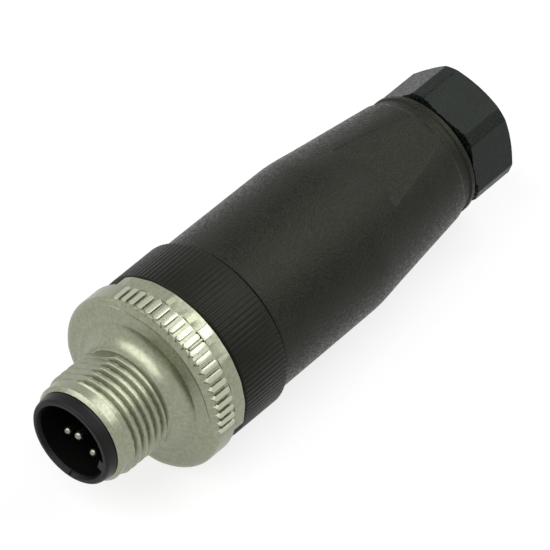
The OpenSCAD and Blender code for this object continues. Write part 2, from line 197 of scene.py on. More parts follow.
def polar(tree):
    """x, radius and angle of a point, and the unit vector that points away from the axis."""
    place = add(tree, "GeometryNodeInputPosition")
    parts = add(tree, "ShaderNodeSeparateXYZ", [place])
    side = add(tree, "ShaderNodeMath", [(parts, "Y"), -1.0], operation="MULTIPLY")
    angle = add(tree, "ShaderNodeMath", [side, (parts, "Z")], operation="ARCTAN2")
    outward = add(tree, "ShaderNodeCombineXYZ", {"Y": (parts, "Y"), "Z": (parts, "Z")})
    radius = add(tree, "ShaderNodeVectorMath", [outward], operation="LENGTH")
    unit = add(tree, "ShaderNodeVectorMath", [outward], operation="NORMALIZE")
    return (parts, "X"), (radius, "Value"), angle, unit


def moved_to(tree, given, radius, new_radius, unit):
    """Moves every point along its radius to the new radius."""
    step = add(tree, "ShaderNodeMath", [new_radius, radius], operation="SUBTRACT")
    offset = add(tree, "ShaderNodeVectorMath", {0: unit, "Scale": step}, operation="SCALE")
    return add(tree, "GeometryNodeSetPosition", {"Geometry": (given, "Geometry"), "Offset": offset})


def thread_tree():
    """Cuts a right-handed V thread into a round surface, between the centres of its end grooves."""
    tree, given = shape_tree("thread", {
        "Pitch": "Float", "Phase": "Float", "Start": "Float", "End": "Float", "Root": "Float",
        "Flank": "Float", "Flat": "Float", "Round": "Float", "Material": "Material"})
    x, radius, angle, unit = polar(tree)
    turns = add(tree, "ShaderNodeMath", [angle, TURN], operation="DIVIDE")
    pitches = add(tree, "ShaderNodeMath", [x, (given, "Pitch")], operation="DIVIDE")
    along = add(tree, "ShaderNodeMath", [pitches, turns], operation="SUBTRACT")
    phased = add(tree, "ShaderNodeMath", [along, (given, "Phase")], operation="SUBTRACT")
    nearest = add(tree, "ShaderNodeMath", [phased], operation="ROUND")
    off = add(tree, "ShaderNodeMath", [phased, nearest], operation="SUBTRACT")
    away = add(tree, "ShaderNodeMath", [off, (given, "Pitch")], operation="MULTIPLY")
    centre = add(tree, "ShaderNodeMath", [x, away], operation="SUBTRACT")
    aside = add(tree, "ShaderNodeMath", [away], operation="ABSOLUTE")
    past_flat = add(tree, "ShaderNodeMath", [aside, (given, "Flat")], operation="SUBTRACT")
    climbing = add(tree, "ShaderNodeMath", [past_flat, 0.0], operation="MAXIMUM")
    wall = add(tree, "ShaderNodeMath", [climbing, (given, "Flank"), (given, "Root")],
               operation="MULTIPLY_ADD")
    early = add(tree, "ShaderNodeMath", [centre, (given, "Start")], operation="LESS_THAN")
    late = add(tree, "ShaderNodeMath", [centre, (given, "End")], operation="GREATER_THAN")
    outside = add(tree, "ShaderNodeMath", [early, late], operation="ADD")
    groove = add(tree, "ShaderNodeMath", [outside, wall], operation="ADD")
    cut = add(tree, "ShaderNodeMath", [radius, groove, (given, "Round")], operation="SMOOTH_MIN")
    return end_tree(tree, given, moved_to(tree, given, radius, cut, unit))


def knurl_tree():
    """Raises straight knurls on a round surface. They die out in a bevel at both ends."""
    tree, given = shape_tree("knurls", {
        "Count": "Float", "Height": "Float", "Crest": "Float", "Flank": "Float", "Start": "Float",
        "End": "Float", "Foot": "Float", "Material": "Material"})
    x, radius, angle, unit = polar(tree)
    turns = add(tree, "ShaderNodeMath", [angle, TURN], operation="DIVIDE")
    cells = add(tree, "ShaderNodeMath", [turns, (given, "Count")], operation="MULTIPLY")
    nearest = add(tree, "ShaderNodeMath", [cells], operation="ROUND")
    off = add(tree, "ShaderNodeMath", [cells, nearest], operation="SUBTRACT")
    round_way = add(tree, "ShaderNodeMath", [radius, TURN], operation="MULTIPLY")
    pitch = add(tree, "ShaderNodeMath", [round_way, (given, "Count")], operation="DIVIDE")
    away = add(tree, "ShaderNodeMath", [off, pitch], operation="MULTIPLY")
    aside = add(tree, "ShaderNodeMath", [away], operation="ABSOLUTE")
    foot = add(tree, "ShaderNodeMath", [(given, "Crest"), (given, "Flank")], operation="ADD")
    height = add(tree, "ShaderNodeMapRange", {"Value": aside, "From Min": (given, "Crest"),
                 "From Max": foot, "To Min": (given, "Height"), "To Max": 0.0},
                 interpolation_type="SMOOTHSTEP")
    raised = add(tree, "ShaderNodeMath", [radius, height], operation="ADD")
    front = add(tree, "ShaderNodeMath", [x, (given, "Start")], operation="SUBTRACT")
    back = add(tree, "ShaderNodeMath", [(given, "End"), x], operation="SUBTRACT")
    inside = add(tree, "ShaderNodeMath", [front, back], operation="MINIMUM")
    bevel = add(tree, "ShaderNodeMath", [(given, "Foot"), inside], operation="ADD")
    held = add(tree, "ShaderNodeMath", [raised, bevel, 0.05 * MM], operation="SMOOTH_MIN")
    kept = add(tree, "ShaderNodeMath", [held, radius], operation="MAXIMUM")
    on_outside = add(tree, "ShaderNodeMath", [radius, 9.4 * MM], operation="GREATER_THAN")
    fresh = add(tree, "ShaderNodeMix", {0: on_outside, 2: radius, 3: kept}, data_type="FLOAT")
    return end_tree(tree, given, moved_to(tree, given, radius, fresh, unit))


def ring_of_tree():
    """Sets copies of the given mesh round the axis, one step after another."""
    tree, given = shape_tree("ring of copies", {
        "Count": "Int", "First": "Float", "Step": "Float", "Material": "Material"})
    points = add(tree, "GeometryNodeMeshLine", {"Count": (given, "Count"), "Offset": (0.0, 0.0, 0.0)})
    index = add(tree, "GeometryNodeInputIndex")
    angle = add(tree, "ShaderNodeMath", [index, (given, "Step"), (given, "First")],
                operation="MULTIPLY_ADD")
    turned = add(tree, "ShaderNodeCombineXYZ", {"X": angle})
    copies = add(tree, "GeometryNodeInstanceOnPoints", {
        "Points": points, "Instance": (given, "Geometry"), "Rotation": turned})
    return end_tree(tree, given, copies)


def grown(piece, tree, values):
    """Runs the tree on the piece and keeps the result as its plain mesh."""
    modifier = piece.modifiers.new(tree.name, "NODES")
    modifier.node_group = tree
    for item in tree.interface.items_tree:
        if item.in_out == "INPUT" and item.name in values:
            modifier[item.identifier] = values[item.name]
    graph = bpy.context.evaluated_depsgraph_get()
    mesh = bpy.data.meshes.new_from_object(piece.evaluated_get(graph), depsgraph=graph)
    piece.modifiers.remove(modifier)
    piece.data = mesh
    return piece


# --------------------------------------------------------------------------------------- mesh helpers
def rounded(points, steps=4):
    """An outline of (x, r) points in which a third number rounds that corner."""
    out = []
    for i, (x, r, *radius) in enumerate(points):
        here = np.array([x, r], float)
        if not radius:
            out.append(here)
            continue
        before = np.array(points[i - 1][:2], float) - here
        after = np.array(points[(i + 1) % len(points)][:2], float) - here
        legs = np.linalg.norm(before), np.linalg.norm(after)
        u, v = before / legs[0], after / legs[1]
        half = math.acos(float(np.clip(u @ v, -1, 1))) / 2
        cut = min(radius[0] / math.tan(half), 0.48 * legs[0], 0.48 * legs[1])
        for t in np.linspace(0, 1, steps + 1):
            out.append(here + u * cut * (1 - t) ** 2 + v * cut * t ** 2)
    return out


def refined(points, x0, x1, step):
    """Splits the outline's spans between x0 and x1 so that none is longer than the step."""
    out = [points[0]]
    for before, after in zip(points, points[1:]):
        before, after = np.asarray(before), np.asarray(after)
        length = np.linalg.norm(after - before)
        inside = min(before[0], after[0]) >= x0 - 1e-6 and max(before[0], after[0]) <= x1 + 1e-6
        count = max(1, math.ceil(length / step - 1e-6)) if inside else 1
        out += [before + (after - before) * k / count for k in range(1, count + 1)]
    return out


def arc(x, r, radius, start, end, steps):
    """Points of an arc about (x, r), from start to end in degrees from the +r direction towards +x."""
    return [(x + radius * math.sin(math.radians(a)), r + radius * math.cos(math.radians(a)))
            for a in np.linspace(start, end, steps)]


def spread(count, phase=0.0):
    """Angles of the columns of a skin, in degrees."""
    return phase + 360 * np.arange(count) / count


def mesh_of(name, points, faces):
    mesh = bpy.data.meshes.new(name)
    mesh.from_pydata((np.asarray(points, float) * MM).tolist(), [], faces)
    return mesh


def skin(outline, angles, shape=None):
    """Points and faces of a surface swept round the axis from a closed outline, or one that starts and
    ends on the axis. shape may change the (x, r) of each point by its angle."""
    rows = np.array([tuple(p) for p in outline], float)
    x, r, a = np.broadcast_arrays(rows[:, :1], rows[:, 1:], np.asarray(angles, float)[None, :])
    if shape is not None:
        x, r = shape(x.copy(), r.copy(), a)
    turn = np.radians(a)
    grid = np.stack([x, -r * np.sin(turn), r * np.cos(turn)], axis=-1)
    count, wide = grid.shape[:2]
    on_axis = rows[0, 1] == 0
    points = grid.reshape(-1, 3)
    j = np.arange(wide)
    k = (j + 1) % wide
    faces = []
    spans = range(1, count - 2) if on_axis else range(count)
    for i in spans:
        here, there = i * wide, (i + 1) % count * wide
        faces += np.stack([here + j, here + k, there + k, there + j], axis=1).tolist()
    if on_axis:
        points = np.vstack([points, grid[0, :1], grid[-1, :1]])
        first, last = len(points) - 2, len(points) - 1
        faces += [(first, wide + b, wide + c) for b, c in zip(k, j)]
        end = (count - 2) * wide
        faces += [(last, end + b, end + c) for b, c in zip(j, k)]
        points, faces = without_loose(points, faces)
    return points, faces


def without_loose(points, faces):
    """Drops the points that no face uses."""
    used = sorted({int(i) for f in faces for i in f})
    place = {i: n for n, i in enumerate(used)}
    return points[used], [tuple(place[int(i)] for i in f) for f in faces]


def joined(*parts):
    """Several (points, faces) as one."""
    points, faces, start = [], [], 0
    for p, f in parts:
        points.append(p)
        faces += [tuple(int(i) + start for i in face) for face in f]
        start += len(p)
    return np.vstack(points), faces


def block(rows):
    """Points and faces of a block from closed rows of points that all have the same number."""
    rows = [np.asarray(r, float) for r in rows]
    wide = len(rows[0])
    faces = []
    for i in range(len(rows) - 1):
        for j in range(wide):
            k = (j + 1) % wide
            faces.append((i * wide + j, i * wide + k, (i + 1) * wide + k, (i + 1) * wide + j))
    faces.append(tuple(reversed(range(wide))))
    faces.append(tuple(range((len(rows) - 1) * wide, len(rows) * wide)))
    return np.vstack(rows), faces


def bar(x0, x1, width, foot, top, ends=(0.03, 0.03), edge=0.05, across=0.0):
    """A bar along X that stands from radius foot to top, with cut corners at both ends."""
    way = 1 if top > foot else -1
    rows = []
    for height, inset in ((foot, -0.06), (top - way * edge, 0.0), (top - way * 0.3 * edge, 0.3 * edge),
                          (top, edge)):
        a, b, w = x0 + inset, x1 - inset, width / 2 - inset
        outline = [(a, ends[0] - w), (a + ends[0], -w), (b - ends[1], -w), (b, ends[1] - w),
                   (b, w - ends[1]), (b - ends[1], w), (a + ends[0], w), (a, w - ends[0])]
        rows.append([(x, way * y + across, height) for x, y in outline])
    return block(rows)


def upright(x, radius, z0, z1):
    """Points and faces of a rod that stands up over the axis at x."""
    angles = np.radians(spread(32))
    ring = np.stack([x + radius * np.cos(angles), radius * np.sin(angles)], axis=1)
    return block([[(*p, z) for p in ring] for z in (z0, z1)])


def at_angle(part, angle):
    """Turns what stands up (+Z) round the axis."""
    points, faces = part
    a = math.radians(angle)
    x, y, z = points.T
    return np.stack([x, y * math.cos(a) - z * math.sin(a), y * math.sin(a) + z * math.cos(a)], 1), faces


def piece_of(name, part, material, sharp=35):
    """A new object with this mesh, smooth but for edges sharper than the angle."""
    piece = bpy.data.objects.new(name, mesh_of(name, *part))
    bpy.context.scene.collection.objects.link(piece)
    piece.data.materials.append(material)
    finish_mesh(piece, sharp)
    return piece


def finish_mesh(piece, sharp=35):
    piece.data.name = piece.name
    piece.data.shade_smooth()
    piece.data.set_sharp_from_angle(angle=math.radians(sharp))
    return piece


def points_in(piece):
    """The piece's points, in millimetres."""
    co = np.empty(len(piece.data.vertices) * 3)
    piece.data.vertices.foreach_get("co", co)
    return co.reshape(-1, 3) / MM


def merged(*pieces):
    """Joins the pieces' meshes into the first one's."""
    parts = [(points_in(p), [tuple(face.vertices) for face in p.data.polygons]) for p in pieces]
    material = pieces[0].data.materials[0]
    pieces[0].data = mesh_of(pieces[0].name, *joined(*parts))
    pieces[0].data.materials.append(material)
    for piece in pieces[1:]:
        bpy.data.objects.remove(piece)
    return finish_mesh(pieces[0])


def drilled(piece, part):
    """Cuts the part out of the piece."""
    tool = piece_of("drill", part, piece.data.materials[0])
    modifier = piece.modifiers.new("drill", "BOOLEAN")
    modifier.operation, modifier.solver, modifier.object = "DIFFERENCE", "EXACT", tool
    graph = bpy.context.evaluated_depsgraph_get()
    mesh = bpy.data.meshes.new_from_object(piece.evaluated_get(graph), depsgraph=graph)
    piece.modifiers.remove(modifier)
    piece.data = mesh
    bpy.data.objects.remove(tool)
    return finish_mesh(piece)


def stands_for(piece, body, slot, *nodes):
    """The piece moves with the body and stands for the CAD nodes, which it hides. The slot is not used."""
    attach(piece, body)
    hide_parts(*nodes)
    return piece


# ------------------------------------------------------------------------------------------ materials
def colour(code):
    """Linear colour of an sRGB hex value."""
    parts = [int(code[i:i + 2], 16) / 255 for i in (1, 3, 5)]
    return (*[c / 12.92 if c <= 0.04045 else ((c + 0.055) / 1.055) ** 2.4 for c in parts], 1.0)


def finish_named(name, dark, light, rough, metallic=0.0, mottle=2.0, grain=0.25, depth=0.02,
                 speck=0.3, wave=0.0, ior=1.5, specular=0.5, tint="#ffffff", cells=False, wear_and_highlight=None,
                 wear_and_highlight_from=0.0):
    """A surface of two close colours in soft patches, with a fine grain. Sizes are in millimetres:
    mottle is the width of a patch, grain the width of a grain, depth and wave the relief of each.
    With cells, each grain is a small crater with a shade of its own. Past the radius
    wear_and_highlight_from the surface takes the colour wear_and_highlight: a painted highlight for
    the shine of the highest tops, together with their wear."""
    material = bpy.data.materials.new(name)
    material.use_nodes = True
    tree = material.node_tree
    tree.nodes.clear()
    place = add(tree, "ShaderNodeTexCoord")
    spot = (place, "Object")
    patches = add(tree, "ShaderNodeTexNoise", {"Vector": spot, "Scale": 1 / (mottle * MM), "Detail": 3.0})
    if cells:
        craters = add(tree, "ShaderNodeTexVoronoi", {"Vector": spot, "Scale": 1 / (grain * MM)})
        grains, bumps = add(tree, "ShaderNodeSeparateColor", [(craters, "Color")]), (craters, "Distance")
    else:
        grains = add(tree, "ShaderNodeTexNoise", {"Vector": spot, "Scale": 1 / (grain * MM), "Detail": 2.0})
        bumps = grains
    lit = add(tree, "ShaderNodeMath", [grains, speck, 0.5 - 0.5 * speck], operation="MULTIPLY_ADD")
    both = add(tree, "ShaderNodeMath", [lit, patches], operation="ADD")
    share = add(tree, "ShaderNodeMapRange", {"Value": both, "From Min": 0.75, "From Max": 1.25})
    paint = add(tree, "ShaderNodeMix", {0: share, 6: colour(dark), 7: colour(light)}, data_type="RGBA")
    # Painted highlight: past the given radius the colour turns lighter, for the shine of the highest tops and
    # their wear
    if wear_and_highlight:
        parts = add(tree, "ShaderNodeSeparateXYZ", [spot])
        side = add(tree, "ShaderNodeCombineXYZ", {"Y": (parts, "Y"), "Z": (parts, "Z")})
        radius = add(tree, "ShaderNodeVectorMath", [side], operation="LENGTH")
        wear_and_highlight_mask = add(tree, "ShaderNodeMapRange", {"Value": (radius, "Value"), "From Min": wear_and_highlight_from * MM,
                                                "From Max": (wear_and_highlight_from + 0.03) * MM})
        paint = add(tree, "ShaderNodeMix", {0: wear_and_highlight_mask, 6: (paint, 2), 7: colour(wear_and_highlight)}, data_type="RGBA")
    gloss = add(tree, "ShaderNodeMapRange", {"Value": grains, "From Min": 0.3, "From Max": 0.7,
                                             "To Min": rough[0], "To Max": rough[1]})
    relief = add(tree, "ShaderNodeBump", {"Strength": 1.0, "Distance": depth * MM, "Height": bumps})
    if wave:
        relief = add(tree, "ShaderNodeBump", {
            "Strength": 1.0, "Distance": wave * MM, "Height": patches, "Normal": relief})
    shader = add(tree, "ShaderNodeBsdfPrincipled", {
        "Base Color": (paint, 2), "Roughness": gloss, "Metallic": metallic, "Normal": relief})
    if not metallic:
        shader.inputs["IOR"].default_value = ior
        shader.inputs["Specular IOR Level"].default_value = specular
        shader.inputs["Specular Tint"].default_value = colour(tint)
    add(tree, "ShaderNodeOutputMaterial", [shader])
    return material


# Zinc die casting with dull nickel plating: satin and faintly green-grey, over an orange-peeled skin.
# The tops of the ribs and the mark are painted lighter: a painted highlight for the shine they catch, and
# rubbed plating
NICKEL = finish_named("nickel_plated_zinc_die_casting", "#838772", "#979a87", (0.27, 0.42), metallic=1.0,
                      mottle=0.4, grain=0.18, depth=0.007, wave=0.006, wear_and_highlight="#b0b3a0",
                      wear_and_highlight_from=RIB_TOP_R - 0.04)
# Glass-filled polyamide from a spark-eroded tool: fine grain in light and dark cells, grain tone and painted
# glints
# The real grain of about 0.1 mm is drawn wider, so that it shows
SLEEVE_PLASTIC = finish_named("spark_grained_polyamide", "#050603", "#1c1d16", (0.3, 0.56), mottle=3.0,
                              grain=0.17, depth=0.03, speck=1.5, ior=1.53, specular=0.19, tint="#f4f6e2",
                              cells=True)
# The same polyamide from a finer tool: a low even sheen
NUT_PLASTIC = finish_named("smooth_moulded_polyamide", "#080c09", "#1b211d", (0.32, 0.48), mottle=2.2,
                           grain=0.17, depth=0.02, speck=1.4, ior=1.53, specular=0.15, tint="#eef6ee",
                           cells=True)
# The grip ring: its knurl crests are painted lighter, a painted highlight for their shine and for their polish
# from handling
RING_PLASTIC = finish_named("knurled_polyamide", "#090a07", "#13140f", (0.34, 0.48), mottle=2.0,
                            grain=0.25, depth=0.012, speck=0.4, ior=1.53, specular=0.15, tint="#f4f6e2",
                            wear_and_highlight="#585a4c", wear_and_highlight_from=RING_R - 0.06)
# Polybutylene terephthalate insert, moulded against polished steel: darker and smoother
INSERT_PLASTIC = finish_named("moulded_insert_plastic", "#060605", "#0b0b0a", (0.36, 0.46), mottle=1.5,
                              grain=0.25, depth=0.006, speck=0.3, ior=1.57, specular=0.16)
# Turned brass with nickel and a flash of gold: bright, with faint turning lines
CONTACT_METAL = finish_named("plated_brass", "#7c7b70", "#8f8e82", (0.2, 0.3), metallic=1.0,
                             mottle=0.6, grain=0.12, depth=0.002)
# Zinc-plated steel: cool grey and satin
STEEL = finish_named("zinc_plated_steel", "#8b8f92", "#a6aaac", (0.28, 0.42), metallic=1.0, mottle=0.8,
                     grain=0.15, depth=0.004)
# Nitrile rubber: matt black with a dusty bloom
RUBBER = finish_named("nitrile_rubber", "#141414", "#1c1c1c", (0.62, 0.78), mottle=1.2, grain=0.3,
                      depth=0.01, ior=1.52, specular=0.3)
# Polyamide of the clamp cage, unfilled and slightly waxy
CAGE_PLASTIC = finish_named("waxy_polyamide", "#2b2b2a", "#353533", (0.38, 0.5), mottle=1.4, grain=0.3,
                            depth=0.008, ior=1.53)

THREADS = thread_tree()
KNURLING = knurl_tree()
COPIES = ring_of_tree()


# ------------------------------------------------------------------------------------- coupling screw
def collar(x, r, a):
    """Rounds off the plain sectors between the groups of ribs, and cuts the flats round the band."""
    plain = round_edge = 1.0
    for middle, count in RIB_GROUPS:
        past = np.abs((a - middle + 180) % 360 - 180) - count * RIB_STEP / 2
        plain = plain * np.clip(past / 2 + 0.5, 0, 1)
        round_edge = round_edge * np.clip(past / 30 + 0.6, 0, 1)
    start, end = FACE_X + 0.17, RIB_X + 0.2
    share = np.clip((end - x) / (end - start), 0, 1)
    swell = 8.43 + (PLAIN_R - 8.43) * (1 - share ** 2.6) ** (1 / 2.6)
    on_collar = (x > start) & (x < BAND_X + 0.03) & (r > 8.4)
    blend = np.where(x < RIB_X, round_edge, plain)
    r = np.where(on_collar, r + (swell - r) * blend, r)
    step = 360 / BAND_FLATS
    small = BAND_R * math.cos(math.radians(step / 2)) / np.cos(np.radians((a - BAND_PHASE) % step - step / 2))
    off = (a - BAND_CUT_ANGLE + 90) % 180 - 90
    large = BAND_CUT_R / np.maximum(np.cos(np.radians(off)), 0.5)
    on_band = (x > BAND_X + 0.05) & (r > CLIP_GROOVE_R + 0.5)
    return x, np.where(on_band, np.minimum(r, np.minimum(small, large)), r)


def cut_flat(piece, apothem, angles, x0, x1):
    """Trims the skin between x0 and x1 to planes that lie off the axis, each facing its angle."""
    co = points_in(piece) * MM
    r = np.hypot(co[:, 1], co[:, 2])
    turn = np.arctan2(-co[:, 1], co[:, 2])
    outside = (co[:, 0] > x0 * MM) & (co[:, 0] < x1 * MM) & (r > (COUPLING_BORE_R + 0.01) * MM)
    for angle in angles:
        off = np.maximum(np.cos(turn - math.radians(angle)), 0.5)
        keep = np.where(outside, np.minimum(1, apothem * MM / off / r), 1)
        co[:, 1:] *= keep[:, None]
        r *= keep
    piece.data.vertices.foreach_set("co", co.ravel())
    piece.data.update()


def make_coupling_screw():
    rear = COUPLING_END_X
    outline = rounded([
        (NOSE_X + 0.12, COUPLING_BORE_R), (NOSE_X, COUPLING_BORE_R + 0.12, 0.05),
        (NOSE_X, 5.28, 0.05), (NOSE_X + 0.4, NOSE_R, 0.08), (NOSE_X + 1.45, NOSE_R, 0.12),
        (NOSE_X + 1.95, THREAD_R, 0.12), (NECK_X - 0.2, THREAD_R, 0.1), (NECK_X + 0.15, NECK_R, 0.08),
        (NECK_X + 0.35, NECK_R - 0.06, 0.05), (NECK_X + 0.42, NECK_R - 0.14, 0.03)])
    outline += arc(NECK_X, NECK_R + FILLET_R, FILLET_R, 166, 90, 20)
    outline += rounded([
        (BEVEL_X, 9.08, 0.03), (BEVEL_X + 0.06, 9.06), (BEVEL_X + 0.06, 9.13), (RIB_X, COLLAR_R, 0.1),
        (BAND_X, COLLAR_R), (BAND_X + 0.06, COLLAR_R + 0.01),
        (BAND_X + 0.1, BAND_R), (rear, BAND_R, 0.12), (rear, 8.6, 0.08), (rear - 0.3, CAVITY_R, 0.08),
        (CLIP_END_X + GAP, CAVITY_R), (CLIP_END_X + GAP, CLIP_GROOVE_R), (CLIP_X - GAP, CLIP_GROOVE_R),
        (CLIP_X - GAP, CAVITY_R), (BEVEL_X + 0.6, CAVITY_R), (BEVEL_X + 0.6, COUPLING_BORE_R)])
    outline = refined(outline, NOSE_X + 1.0, NECK_X + 0.2, 0.036)
    outline = refined(outline, FACE_X, RIB_X + 0.1, 0.12)
    outline = refined(outline, RIB_X, BAND_X, 0.3)
    body = piece_of("coupling_body", skin(outline, spread(264, BAND_PHASE), collar), NICKEL)
    grown(body, THREADS, {
        "Pitch": THREAD_PITCH * MM, "Phase": (3.45 - 47.5 / 360) % 1, "Start": 2.49 * MM, "End": 8.2 * MM,
        "Root": THREAD_ROOT_R * MM, "Flank": 1.732, "Flat": 0.07 * MM, "Round": 0.1 * MM,
        "Material": NICKEL})
    cut_flat(body, PARTING_R, PARTING_ANGLES, NOSE_X + 0.6, NECK_X + 0.3)
    rib = bar(RIB_X - 0.1, BAND_X - 0.16, RIB_W, COLLAR_R - 0.5, RIB_TOP_R, ends=(0.26, 0.16), edge=0.05)
    groups = []
    for middle, count in RIB_GROUPS:
        group = piece_of("ribs", rib, NICKEL)
        first = middle - (count - 1) / 2 * RIB_STEP
        groups.append(grown(group, COPIES, {"Count": count, "First": math.radians(first),
                                            "Step": math.radians(RIB_STEP), "Material": NICKEL}))
    body = merged(body, *groups)
    co = points_in(body)
    corner = (co[:, 0] > BAND_X) & (np.hypot(co[:, 1], co[:, 2]) > BAND_R - 0.003)
    sharp = body.data.attributes.get("sharp_edge") or body.data.attributes.new("sharp_edge", "BOOLEAN", "EDGE")
    for edge in body.data.edges:
        a, b = edge.vertices
        if corner[a] and corner[b] and abs(co[a, 0] - co[b, 0]) > 0.2:
            sharp.data[edge.index].value = True
    stands_for(body, "coupling", "nickel", "coupling_screw")
    pad = bar(BAND_X - 0.1, COUPLING_END_X - 0.15, 1.25, COLLAR_R - 0.3, RIB_TOP_R, edge=0.1)
    stem = bar(RIB_X + 0.3, BAND_X, 0.24, COLLAR_R - 0.3, RIB_TOP_R - 0.08, edge=0.04, across=-0.29)
    mark = piece_of("position_mark", at_angle(joined(pad, stem), MARK_ANGLE), NICKEL)
    stands_for(mark, "coupling", "nickel", "coupling_screw")


# --------------------------------------------------------------------------------------- knurled ring
def make_knurled_ring():
    root, foot = RING_R - KNURL_H, RING_R - RING_BEVEL
    line = rounded([
        (RING_X, SEAT_R), (RING_X, foot, 0.05), (RING_X + KNURL_H * 1.3, root, 0.1),
        (RING_END_X - KNURL_H * 1.3, root, 0.1), (RING_END_X, foot, 0.05)])
    line = refined(line, RING_X, RING_X + 0.8, 0.07)
    line = refined(line, RING_X + 0.7, RING_END_X - 0.7, 1.2)
    line = refined(line, RING_END_X - 0.8, RING_END_X, 0.07)
    line += rounded([
        (RING_END_X, CARRIER_THREAD_R), (CARRIER_END_X - 0.5, CARRIER_THREAD_R, 0.05),
        (CARRIER_END_X, CARRIER_THREAD_R - 0.5, 0.05), (CARRIER_END_X, BLOCK_BORE_R),
        (RING_X + 1, BLOCK_BORE_R), (RING_X + 1, SEAT_R)])
    ring = piece_of("grip_ring", skin(line, spread(10 * KNURLS)), RING_PLASTIC)
    grown(ring, KNURLING, {
        "Count": float(KNURLS), "Height": KNURL_H * MM, "Crest": 0.05 * MM, "Flank": 0.16 * MM,
        "Start": RING_X * MM, "End": RING_END_X * MM, "Foot": foot * MM, "Material": RING_PLASTIC})
    finish_mesh(ring, 40)
    stands_for(ring, "insert", "black_plastic", "knurled_ring")


# ---------------------------------------------------------------------------------------------- sleeve
def wrench_flats(x, r, a):
    """Cuts the two wrench flats into the cone."""
    depth = FLATS_R - FLATS_SLOPE * (x - FLATS_X)
    on_flat = (x > FLATS_X) & (x < CONE_END_X - 0.1) & (r > BEAD_R - 0.16)
    for turn in (0, 180):
        off = np.cos(np.radians(a - FLATS_ANGLE - turn))
        limit = np.where(off > 0.3, depth / np.maximum(off, 0.3), 99)
        r = np.where(on_flat, np.minimum(r, limit), r)
    return x, r


def make_sleeve():
    line = rounded([
        (SLEEVE_X, CARRIER_THREAD_R + GAP), (SLEEVE_X, 8.75), (SLEEVE_X + 0.14, 8.8),
        (SLEEVE_X + 0.16, SLEEVE_R - 0.04), (SLEEVE_X + 0.25, SLEEVE_R, 0.03), (CONE_X - 1.5, 9.25),
        (CONE_X - 0.5, 9.24), (CONE_X + 0.5, 9.18), (CONE_X + 1.5, 9.06), (FLATS_X - 0.03, 8.72),
        (FLATS_X + 0.03, 8.715), (CONE_END_X - 0.2, 7.46, 0.08), (CONE_END_X + 0.1, 7.3, 0.05),
        (CONE_END_X + 0.2, BEAD_R, 0.05), (CONE_END_X + 0.55, BEAD_R, 0.08),
        (CONE_END_X + 0.7, BEAD_R - 0.17, 0.06), (SLEEVE_END_X - 0.75, BEAD_R - 0.17, 0.06),
        (SLEEVE_END_X - 0.6, BEAD_R, 0.08), (SLEEVE_END_X - 0.15, BEAD_R, 0.1),
        (SLEEVE_END_X, BEAD_R - 0.15, 0.06), (SLEEVE_END_X, GLAND_BORE_R, 0.05)])
    line = refined(line, SLEEVE_X + 0.5, CONE_X - 1.5, 1.5)
    line = refined(line, FLATS_X + 0.02, CONE_END_X, 0.25)
    line += [
        (SLEEVE_END_X - 4.6, GLAND_BORE_R), (SLEEVE_END_X - 5, PACKING_R), (PACKING_X, PACKING_R),
        (PACKING_X, SHOULDER_R), (PACKING_X - 1, SHOULDER_R), (PACKING_X - 1.6, PACKING_R),
        (CONE_X - 2, CHAMBER_R), (CARRIER_END_X + 0.8, CHAMBER_R),
        (CARRIER_END_X + 0.5, CARRIER_THREAD_R + GAP)]
    sleeve = piece_of("sleeve_shell", skin(line, spread(384, FLATS_ANGLE), wrench_flats), SLEEVE_PLASTIC, 28)
    stands_for(sleeve, "sleeve", "black_plastic", "sleeve")


# ------------------------------------------------------------------------------------------- gland nut
def nut_faces(x, r, a):
    """Cuts the head to its wide and narrow flats, with slightly rounded edges and a rough front edge."""
    wide = np.radians((a - FLATS_ANGLE + 30) % 60 - 30)
    narrow = np.radians((a - FLATS_ANGLE) % 60 - 30)
    one, two = NUT_WIDE_R / np.cos(wide), NUT_NARROW_R / np.cos(narrow)
    soft = 0.04
    h = np.clip(0.5 + 0.5 * (two - one) / soft, 0, 1)
    hexagon = two * (1 - h) + one * h - soft * h * (1 - h)
    on_head = (x > HEAD_X - 0.01) & (r > SHANK_R + 0.2)
    turn = np.radians(a)
    burr = 0.03 * (np.sin(23 * turn) + np.sin(41 * turn + 1) + np.sin(67 * turn + 2)) * (x < HEAD_X + 0.5)
    return x + np.where(on_head, burr, 0), np.where(on_head, np.minimum(r, hexagon), r)


def slope_line(x0, r0, x1, r1, count):
    """Points along a cone."""
    return list(zip(np.linspace(x0, x1, count), np.linspace(r0, r1, count)))


def make_gland_nut():
    front_r, rear_r, corner_r = 6.3, 6.55, 7.32
    line = [(HEAD_X + 0.14, SHANK_R + 0.05), (HEAD_X + 0.14, front_r - 0.05)]
    line += slope_line(HEAD_X + 0.16, front_r, HEAD_X + 0.5, corner_r, 12)
    line += slope_line(HEAD_X + 0.9, corner_r, NUT_END_X - 1.6, corner_r, 4)
    line += slope_line(NUT_END_X - 0.39, corner_r, NUT_END_X - 0.02, rear_r, 10)
    line += rounded([
        (NUT_END_X, rear_r - 0.05), (NUT_END_X, NUT_BORE_R + 0.4, 0.08),
        (NUT_END_X - 0.4, NUT_BORE_R, 0.08), (SHANK_X + 3.6, NUT_BORE_R), (SHANK_X, 5.0),
        (SHANK_X, SHANK_R - 0.3), (SHANK_X + 0.3, SHANK_R)])
    nut = piece_of("gland_cap", skin(line, spread(360, FLATS_ANGLE), nut_faces), NUT_PLASTIC, 25)
    stands_for(nut, "gland", "black_plastic", "gland_nut")


# --------------------------------------------------------------------------------- insert and contacts
def rim_notch(x, r, a):
    """The shallow notch in the rim that shows which way round the plug goes."""
    across = np.abs((a - NOTCH_ANGLE + 180) % 360 - 180) * math.radians(SOCKET_R + 0.35)
    notched = (across < 0.55) & (x < 0.35) & (r < SOCKET_R + 0.48)
    return np.where(notched, 0.35, x), r


